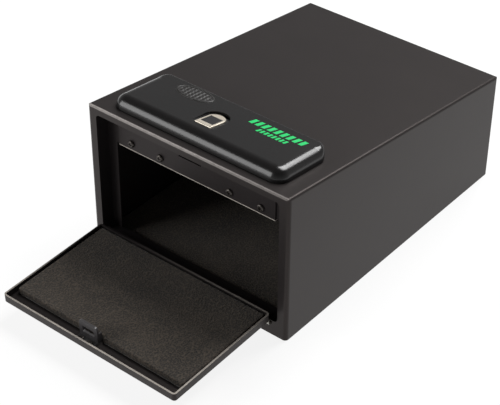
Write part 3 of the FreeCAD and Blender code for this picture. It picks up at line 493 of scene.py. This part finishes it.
def foam_slab(half_x: float, half_y: float, thick: float, corner: float, roll: float,
              step: float, wells: Sequence[Triple] = (),
              bites: Sequence[tuple[float, float, float, float]] = (),
              hem: float = 0.02) -> tuple[np.ndarray, np.ndarray]:
    """A cut foam sheet, lying flat and centred on the origin.

    The top is a height over a grid: thick times a quarter circle of the distance to the nearest
    edge, with two slow waves that keep it from looking machined.  The grid narrows along a circle
    towards its corners.  The underside is the same grid at height zero, and both meet along the
    outline.

    Args:
        half_x: Half the length in x.
        half_y: Half the length in y.
        thick: Thickness.
        corner: Radius of the outline's corners.
        roll: Radius of the top edge.
        step: Spacing of the grid.
        wells: x, y and radius of each round well through the sheet.
        bites: centre x and y, half width and half height of each square cut-out.
        hem: Least height of the top inside the outline, as a share of the thickness.

    Returns:
        Points and faces.
    """
    u, v = np.meshgrid(clustered(half_x, roll, step), clustered(half_y, roll, step), indexing="ij")
    past = np.clip(np.abs(v) - (half_y - corner), 0, corner)
    narrow = corner - np.sqrt(np.maximum(corner ** 2 - past ** 2, 0))
    x = u * (half_x - narrow) / half_x
    edge = np.minimum((half_x - np.abs(u)), (half_y - np.abs(v)))
    for well_x, well_y, radius in wells:
        edge = np.minimum(edge, np.hypot(x - well_x, v - well_y) - radius)
    for bite_x, bite_y, wide, tall in bites:
        edge = np.minimum(edge, np.maximum(np.abs(x - bite_x) - wide, np.abs(v - bite_y) - tall))
    part = np.clip(edge / roll, 0, 1)
    top = thick * np.sqrt(1 - (1 - part) ** 2) * (1 + slow_wave(x, v) * part)
    upper = np.stack([x, v, np.maximum(top, hem * thick)], -1)
    upper[[0, -1], :, 2] = 0
    upper[:, [0, -1], 2] = 0
    lower = upper * [1, 1, 0]
    rows, columns = u.shape
    above = grid_faces(rows, columns)
    rim = np.zeros(u.shape, bool)
    rim[[0, -1], :] = rim[:, [0, -1]] = True
    under = np.arange(rows * columns) + rows * columns
    under[rim.ravel()] = np.arange(rows * columns)[rim.ravel()]
    return np.concatenate([upper.reshape(-1, 3), lower.reshape(-1, 3)]), np.concatenate(
        [above, under[above][:, ::-1]])


def swept_ring(path: np.ndarray, profile: np.ndarray) -> tuple[np.ndarray, np.ndarray]:
    """A closed profile carried round a closed flat path.

    Each point is path + out * normal + (0, 0, up), where the normal is the path's tangent turned a
    quarter turn outwards and (out, up) runs round the profile.

    Args:
        path: x and y of each place on the path, counter-clockwise.
        profile: out and up of each place on the profile, clockwise seen along the path.

    Returns:
        Points and faces.
    """
    along = np.roll(path, -1, 0) - np.roll(path, 1, 0)
    along /= np.linalg.norm(along, axis=1)[:, None]
    normal = np.stack([along[:, 1], -along[:, 0]], -1)
    flat = path[:, None, :] + normal[:, None, :] * profile[None, :, :1]
    up = np.broadcast_to(profile[None, :, 1:], (len(path), len(profile), 1))
    points = np.concatenate([flat, up], -1).reshape(-1, 3)
    i, j = np.meshgrid(np.arange(len(path)), np.arange(len(profile)), indexing="ij")
    i2, j2 = (i + 1) % len(path), (j + 1) % len(profile)
    n = len(profile)
    return points, np.stack([i * n + j, i2 * n + j, i2 * n + j2, i * n + j2], -1).reshape(-1, 4)


BAR_FACES = [[0, 1, 2, 3], [7, 6, 5, 4], [0, 4, 5, 1], [1, 5, 6, 2], [2, 6, 7, 3], [3, 7, 4, 0]]


def slanted_bar(left: float, right: float, along: float, tall: float, thick: float,
                slant: float = 0.25) -> np.ndarray:
    """Eight corners of a thin slanted bar, the lower four first; BAR_FACES joins them.

    Args:
        left: x of the near left corner.
        right: x of the near right corner.
        along: Middle of the bar's height.
        tall: The bar's height.
        thick: Its thickness.
        slant: How far the far end leans over, as a share of the height.

    Returns:
        One row per corner.
    """
    lean = slant * tall
    flat = np.array([[left, along - tall / 2], [left + lean, along + tall / 2],
                     [right + lean, along + tall / 2], [right, along - tall / 2]])
    low = np.concatenate([flat, np.full((4, 1), 0.0)], 1)
    return np.concatenate([low, low + [0, 0, thick]])


# ---------------------------------------------------------------- sub-assemblies

@dataclass(frozen=True)
class Roof:
    """The sloping roof's plane, on which the pod stands."""

    front: float = -155.5 * MM
    front_height: float = 146 * MM
    fall: float = 0.038 / 0.311

    def place(self, points: np.ndarray) -> np.ndarray:
        """Lays points given as (x, along the roof, off the roof) in the CAD frame.

        Args:
            points: One row per point.

        Returns:
            The points in the CAD frame.
        """
        angle = math.atan(self.fall)
        cos, sin = math.cos(angle), math.sin(angle)
        x, along, off = np.asarray(points, float).T
        return np.stack([x, self.front + along * cos + off * sin,
                         self.front_height - along * sin + off * cos], -1)


@dataclass
class Cabinet:
    """The steel box, its doorway frame and the foam on its floor.

    The shell's coat carries a painted highlight on the roof's front bend, whose outermost line
    stands bend_reach from the origin, half-way between forwards and upwards.
    """

    frame: dict[str, Any]
    liner_step: float = 2.2 * MM
    liner_roll: float = 2.0 * MM
    liner_corner: float = 4.5 * MM
    well_radius: float = 8.0 * MM
    bolt_x: float = 65 * MM
    bolt_y: tuple[float, float] = (-25.5 * MM, 114.5 * MM)
    bend_reach: float = 211.92 * MM
    bend_highlight: float = 0.18 * MM
    cover_highlight: float = 0.75 * MM

    def dress(self, mats: dict[str, bpy.types.Material]) -> None:
        """Gives the steel its coats and lays the foam.

        Args:
            mats: The materials, by short name.
        """
        paint(self.frame, mats["coat"], "base_plate")
        paint(self.frame, self.shell_coat(), "outer_shell")
        paint(self.frame, mats["inside"], "door_stop_frame", "hinge_frame_leaf")
        paint(self.frame, self.cover_coat(), "lock_cover")
        paint(self.frame, mats["screw"], "lock_cover_screws")
        self.lay_liner(mats["foam"])

    def shell_coat(self) -> bpy.types.Material:
        """The shell's coat, with a painted highlight along the roof's front bend, stronger to the
        left.

        Returns:
            The shell's material.
        """
        half = math.sqrt(0.5)
        # Painted highlight: a pale line on the roof's front bend stands in for light caught by the
        # bend.
        return POWDER_COAT.with_edge_highlight("powder_coated_shell", facing=(0.0, -half, half), width=0.1 * MM,
                                start=self.bend_reach - self.bend_highlight, bare="8d8885",
                                toward=(-1.0, 0.0, 0.0), toward_from=-0.26,
                                toward_to=0.0).material()

    def cover_coat(self) -> bpy.types.Material:
        """The lock cover's coat, with a painted highlight along its lower edge.

        Returns:
            The cover's material.
        """
        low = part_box("lock_cover")[0][2]
        # Painted highlight: a pale strip on the cover's lower edge stands in for light caught by
        # its bend.
        return INNER_COAT.with_edge_highlight("powder_coated_cover", facing=(0.0, 0.0, -1.0), width=0.15 * MM,
                               start=-low - self.cover_highlight, bare="b3aca4").material()

    def lay_liner(self, foam: bpy.types.Material) -> None:
        """Replaces the flat CAD liner with a cut foam sheet.

        Args:
            foam: The foam's material.
        """
        low, high = (np.array(corner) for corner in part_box("floor_liner"))
        centre, half = (low + high) / 2, (high - low) / 2
        wells = [(x - centre[0], y - centre[1], self.well_radius)
                 for y in self.bolt_y for x in (-self.bolt_x, self.bolt_x)]
        points, faces = foam_slab(half[0], half[1], high[2] - low[2], self.liner_corner,
                                  self.liner_roll, self.liner_step, wells)
        sheet = mesh_piece("floor_foam", points + [centre[0], centre[1], low[2]], faces, "cabinet",
                           foam)
        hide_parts("floor_liner")


@dataclass
class Door:
    """The shallow door pan, drawn where it stands open, with its foam and striker loop.

    The pan's sizes are given with the door upright: heights from the hinge axis, and depths
    behind it.  The pad's top edge has a cut-out round the striker: its middle in x, its half width
    and its depth.
    """

    frame: dict[str, Any]
    hinge: tuple[float, float] = (-159 * MM, 16.3 * MM)
    open_angle: float = 91.9
    rim: float = 11.3 * MM
    rim_highlight: float = 0.25 * MM
    pad_half: float = 92.5 * MM
    pad_low: float = 3.4 * MM
    pad_high: float = 107 * MM
    pad_back: float = 5.05 * MM
    pad_thick: float = 4.95 * MM
    pad_corner: float = 3 * MM
    pad_roll: float = 1.2 * MM
    pad_step: float = 1.6 * MM
    cut_out: Triple = (-5.2 * MM, 11.5 * MM, 2.3 * MM)

    def hang(self, points: np.ndarray) -> np.ndarray:
        """Turns points given upright about the hinge axis into the open position.

        Args:
            points: x, depth behind the axis and height above it, one row per point.

        Returns:
            The points in the CAD frame.
        """
        angle = math.radians(self.open_angle)
        cos, sin = math.cos(angle), math.sin(angle)
        x, y, z = np.asarray(points, float).T
        return np.stack([x, self.hinge[0] + y * cos - z * sin,
                         self.hinge[1] + y * sin + z * cos], -1)

    def dress(self, mats: dict[str, bpy.types.Material]) -> None:
        """Coats the pan and lays its foam.

        Args:
            mats: The materials, by short name.
        """
        paint(self.frame, self.pan_coat(), "door_panel")
        paint(self.frame, mats["inside"], "hinge_door_leaf")
        paint(self.frame, mats["striker"], "striker")
        paint(self.frame, mats["screw"], "striker_rivets")
        self.lay_pad(mats["foam"])

    def pan_coat(self) -> bpy.types.Material:
        """The pan's coat, a painted highlight on its rim, most towards its free edge and right end.

        Returns:
            The pan's material.
        """
        angle = math.radians(self.open_angle)
        inward = (0.0, math.cos(angle), math.sin(angle))
        reach = float(np.dot(inward, np.array([0.0, *self.hinge]))) + self.rim
        # Painted highlight: a pale line on the rim's edge stands in for light reflected there.
        return POWDER_COAT.with_edge_highlight("powder_coated_door", facing=inward, start=reach - self.rim_highlight,
                                width=0.2 * MM, bare="aaa39b", toward=(0.5, -1.0, 0.0),
                                toward_from=0.13, toward_to=0.27).material()

    def lay_pad(self, foam: bpy.types.Material) -> None:
        """Replaces the flat CAD pad with a cut foam sheet, open round the striker.

        Args:
            foam: The foam's material.
        """
        half_high = (self.pad_high - self.pad_low) / 2
        middle, wide, deep = self.cut_out
        points, faces = foam_slab(self.pad_half, half_high, self.pad_thick, self.pad_corner,
                                  self.pad_roll, self.pad_step,
                                  bites=((middle, half_high, wide, deep),))
        upright = np.stack([points[:, 0], self.pad_back + points[:, 2],
                            (self.pad_low + self.pad_high) / 2 + points[:, 1]], -1)
        pad = mesh_piece("door_foam", self.hang(upright), faces[:, ::-1], "door", foam)
        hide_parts("door_liner")


@dataclass
class Pod:
    """The moulded pod with its reader, blank badge and plain green print.

    Places on the pod are x and the distance along the roof from its front.  The badge is its
    middle and its half axes, and each row of print is where it starts and ends in x, its middle
    along the roof, its height and its number of bars.
    """

    frame: dict[str, Any]
    roof: Roof = field(default_factory=Roof)
    top: float = 11.4 * MM
    badge: tuple[float, float, float, float] = (-43 * MM, 63.4 * MM, 20 * MM, 10.8 * MM)
    badge_lift: float = 0.22 * MM
    dome_margin: float = 2 * MM
    dome_rise: float = 0.15 * MM
    dome_sunk: float = 0.3 * MM
    dome_grid: tuple[int, int] = (56, 180)
    knurl: float = 1.3 * MM
    knurl_high: float = 0.3 * MM
    knurl_fade: float = 6
    ring_margin: float = 1.6 * MM
    ring_grid: tuple[int, int] = (96, 16)
    bead: tuple[float, float] = (0.9 * MM, 0.55 * MM)
    print_rows: tuple[tuple[float, float, float, float, int], ...] = (
        (18.6 * MM, 76 * MM, 62.5 * MM, 8 * MM, 9), (32 * MM, 63.5 * MM, 53.4 * MM, 5 * MM, 8))
    print_fill: float = 0.62
    print_thick: float = 0.1 * MM

    def dress(self, mats: dict[str, bpy.types.Material]) -> None:
        """Gives the CAD pieces their finishes and adds the raised badge and the print.

        Args:
            mats: The materials, by short name.
        """
        paint(self.frame, mats["plastic"], "pod_housing")
        paint(self.frame, mats["etched"], "badge_plate")
        paint(self.frame, mats["rubber"], "pod_gasket")
        paint(self.frame, mats["champagne"], "sensor_bezel")
        paint(self.frame, mats["glass"], "sensor_window", "sensor_module")
        paint(self.frame, mats["board"], "circuit_board")
        paint(self.frame, mats["zinc"], "board_posts")
        paint(self.frame, mats["screw"], "pod_screws")
        self.raise_dome(mats["etched"])
        self.raise_ring(mats["etched"])
        self.print_mark(mats["green"])

    def raise_dome(self, plastic: bpy.types.Material) -> None:
        """A shallow knurled dome on the badge.

        Its height is a paraboloid of the distance from its middle plus the product of two crossed
        sine waves, which fades out at its edge.

        Args:
            plastic: The badge's material.
        """
        cx, cy, a, b = self.badge
        rings, spokes = self.dome_grid
        part, turn = np.meshgrid(np.linspace(0, 1, rings),
                                 np.linspace(0, 2 * math.pi, spokes, endpoint=False),
                                 indexing="ij")
        x = cx + (a - self.dome_margin) * part * np.cos(turn)
        y = cy + (b - self.dome_margin) * part * np.sin(turn)
        knurl = np.sin((x + y) / self.knurl) * np.sin((x - y) / self.knurl)
        fade = np.clip(self.knurl_fade * (1 - part), 0, 1)
        rise = self.dome_rise * (1 - part ** 2) + self.knurl_high * knurl * fade
        dome = np.stack([x, y, self.top + self.badge_lift + rise], -1)
        dome[-1, :, 2] = self.top - self.dome_sunk
        mesh_piece("badge_dome", self.roof.place(dome.reshape(-1, 3)),
                   grid_faces(*part.shape, wrap=True), "cabinet", plastic)

    def raise_ring(self, plastic: bpy.types.Material) -> None:
        """A plain raised ring round the dome: an ellipse that carries an oval bead.

        Args:
            plastic: The badge's material.
        """
        cx, cy, a, b = self.badge
        along, around = self.ring_grid
        wide, high = self.bead
        turn = np.linspace(0, 2 * math.pi, along, endpoint=False)
        path = np.stack([cx + (a - self.ring_margin) * np.cos(turn),
                         cy + (b - self.ring_margin) * np.sin(turn)], -1)
        roll = np.linspace(0, 2 * math.pi, around, endpoint=False)
        points, faces = swept_ring(path, np.stack([wide * np.cos(roll), high * np.sin(roll)], -1))
        points[:, 2] += self.top
        mesh_piece("badge_ring", self.roof.place(points), faces, "cabinet", plastic)

    def print_mark(self, green: bpy.types.Material) -> None:
        """Two rows of plain slanted bars, printed on the pod: no letters, only a hatch.

        Args:
            green: The ink's material.
        """
        points, faces = [], []
        for start, end, along, tall, count in self.print_rows:
            pitch = (end - start) / count
            for k in range(count):
                left = start + k * pitch
                bar = slanted_bar(left, left + self.print_fill * pitch, along, tall,
                                  self.print_thick)
                faces += [[len(points) + i for i in face] for face in BAR_FACES]
                points += bar.tolist()
        lifted = np.array(points) + [0, 0, self.top]
        mesh_piece("printed_hatch", self.roof.place(lifted), faces, "cabinet", green,
                   smooth=False)


@dataclass
class Lock:
    """The latch, solenoid, key lock, battery tray and hinge hardware."""

    frame: dict[str, Any]

    def dress(self, mats: dict[str, bpy.types.Material]) -> None:
        """Gives each CAD piece its finish.

        Args:
            mats: The materials, by short name.
        """
        paint(self.frame, mats["zinc"], "latch_slide", "latch_guides", "solenoid_frame",
              "latch_spring", "key_lock_nut", "key_crank", "battery_contacts", "hinge_springs")
        paint(self.frame, mats["copper"], "solenoid_coil")
        paint(self.frame, mats["nickel"], "solenoid_plunger", "key_lock_barrel", "key_plug")
        paint(self.frame, mats["screw"], "hinge_pin")
        paint(self.frame, mats["plastic"], "battery_tray", "battery_cover", "battery_cover_rails")
        paint(self.frame, mats["jacket"], "battery_cells")


# ---------------------------------------------------------------- stage

@dataclass(frozen=True)
class Lamp:
    """A square soft light: where it stands, its side and its power in watts."""

    name: str
    place: Triple
    side: float
    watts: float


def stand(thing: bpy.types.Object, right: np.ndarray, up: np.ndarray, back: np.ndarray,
          place: Sequence[float]) -> None:
    """Puts a camera or lamp into the scene, with its own axes along three directions.

    Args:
        thing: The camera or lamp.
        right: Direction of its +X.
        up: Direction of its +Y.
        back: Direction of its +Z, away from what it looks at.
        place: Where it stands.
    """
    bpy.context.scene.collection.objects.link(thing)
    matrix = np.eye(4)
    matrix[:3] = np.stack([right, up, back, np.array(place)], -1)
    thing.matrix_world = matrix.T.tolist()


@dataclass
class Studio:
    """The pale floor, the soft lights and the camera.

    The camera's bearing is in degrees and its lens and sensor are in millimetres.  The world is
    bright near the horizon, wall strong up to wall_foot, and falls smoothly to sky at wall_top,
    both heights given as the upward part of a direction.
    """

    eye: Triple = (0.6814, -0.9125, 0.8536)
    azimuth: float = 38.97
    elevation: float = 36.79
    roll: float = 0.33
    lens: float = 110.58
    sensor: float = 36.0
    clip: tuple[float, float] = (0.05, 20.0)
    lamps: tuple[Lamp, ...] = (Lamp("key_light", (-1.2, -1.5, 0.8), 1.2, 22.0),
                               Lamp("top_light", (0.1, 1.3, 1.9), 1.4, 72.0))
    lit_height: float = 0.06
    sky: float = 0.1
    wall: float = 7.0
    wall_foot: float = 0.05
    wall_top: float = 0.85
    span: float = 6.0
    floor_drop: float = 0.5 * MM
    glow: float = 0.87

    def camera(self) -> None:
        """Places the camera from its bearing: back is its own +Z, and roll turns right and up."""
        az, el, roll = (math.radians(a) for a in (self.azimuth, self.elevation, self.roll))
        back = np.array([math.sin(az) * math.cos(el), -math.cos(az) * math.cos(el), math.sin(el)])
        right = np.cross(-back, [0, 0, 1])
        right /= np.linalg.norm(right)
        up = np.cross(right, -back)
        turned = math.cos(roll) * right + math.sin(roll) * up
        upright = -math.sin(roll) * right + math.cos(roll) * up
        data = bpy.data.cameras.new("camera")
        data.lens, data.sensor_width = self.lens, self.sensor
        data.clip_start, data.clip_end = self.clip
        camera = bpy.data.objects.new("camera", data)
        stand(camera, turned, upright, back, self.eye)
        bpy.context.scene.camera = camera

    def light(self, lamp: Lamp) -> None:
        """A square soft light that looks at the safe.

        Args:
            lamp: The light.
        """
        data = bpy.data.lights.new(lamp.name, "AREA")
        data.size, data.energy = lamp.side, lamp.watts
        back = np.array(lamp.place) - [0, 0, self.lit_height]
        back = back / np.linalg.norm(back)
        right = np.cross([0, 0, 1.0], back)
        right = right / np.linalg.norm(right)
        stand(bpy.data.objects.new(lamp.name, data), right, np.cross(back, right), back, lamp.place)

    def horizon(self) -> None:
        """The world: a bright band round the horizon that fades upwards."""
        world = bpy.data.worlds.new("studio_world")
        bpy.context.scene.world = world
        world.use_nodes = True
        tree = world.node_tree
        direction = add(tree, "ShaderNodeTexCoord").outputs["Generated"]
        up = add(tree, "ShaderNodeSeparateXYZ", None, Vector=direction).outputs["Z"]
        band = add(tree, "ShaderNodeMapRange", {"interpolation_type": "SMOOTHSTEP"}, Value=up,
                   From_Min=self.wall_foot, From_Max=self.wall_top, To_Min=self.wall,
                   To_Max=self.sky)
        tree.links.new(band.outputs[0], tree.nodes["Background"].inputs["Strength"])

    def build(self) -> None:
        """Camera, world, lights and floor."""
        self.camera()
        self.horizon()
        for lamp in self.lamps:
            self.light(lamp)
        corners = np.array([[-1, -1, 0], [1, -1, 0], [1, 1, 0], [-1, 1, 0]]) * self.span
        data = bpy.data.meshes.new("floor")
        data.from_pydata((corners - [0, 0, self.floor_drop]).tolist(), [], [[0, 1, 2, 3]])
        floor = bpy.data.objects.new("floor", data)
        bpy.context.scene.collection.objects.link(floor)
        data.materials.append(self.paper())
        floor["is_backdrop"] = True

    def paper(self) -> bpy.types.Material:
        """White paper lit from behind, so that it stays white under the safe.

        Returns:
            The floor's material.
        """
        made = bpy.data.materials.new("lit_paper")
        made.use_nodes = True
        tree = made.node_tree
        tree.nodes.clear()
        shader = add(tree, "ShaderNodeBsdfPrincipled", None, Base_Color=linear("606060"),
                     Roughness=0.9, Emission_Color=linear("ffffff"), Emission_Strength=self.glow)
        add(tree, "ShaderNodeOutputMaterial", None, Surface=shader.outputs[0])
        return made


def main() -> dict[str, list[list[float]]]:
    """Builds every sub-assembly in order.
    """
    logging.basicConfig(level=logging.INFO, format="%(message)s")
    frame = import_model()
    sizes = {"cad": [list(corner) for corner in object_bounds()]}
    bpy.context.scene.view_settings.view_transform = "Standard"
    Studio().build()
    mats = {name: finish.material() for name, finish in {
        "coat": POWDER_COAT, "inside": INNER_COAT, "plastic": POD_PLASTIC, "screw": SCREW_BLACK,
        "zinc": ZINC, "nickel": NICKEL, "champagne": CHAMPAGNE, "foam": FOAM,
        "glass": GLASS_BLACK, "rubber": RUBBER, "board": SOLDER_MASK, "copper": ENAMEL_WIRE,
        "green": GREEN_PRINT, "striker": STRIKER_COAT, "etched": ETCHED_PLASTIC,
        "jacket": CELL_JACKET}.items()}
    for assembly in (Cabinet(frame), Door(frame), Pod(frame), Lock(frame)):
        assembly.dress(mats)
        LOG.info("%s dressed", type(assembly).__name__)
    sizes["visual"] = [list(corner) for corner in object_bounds()]
    return sizes


if __name__ == "__main__":
    main()
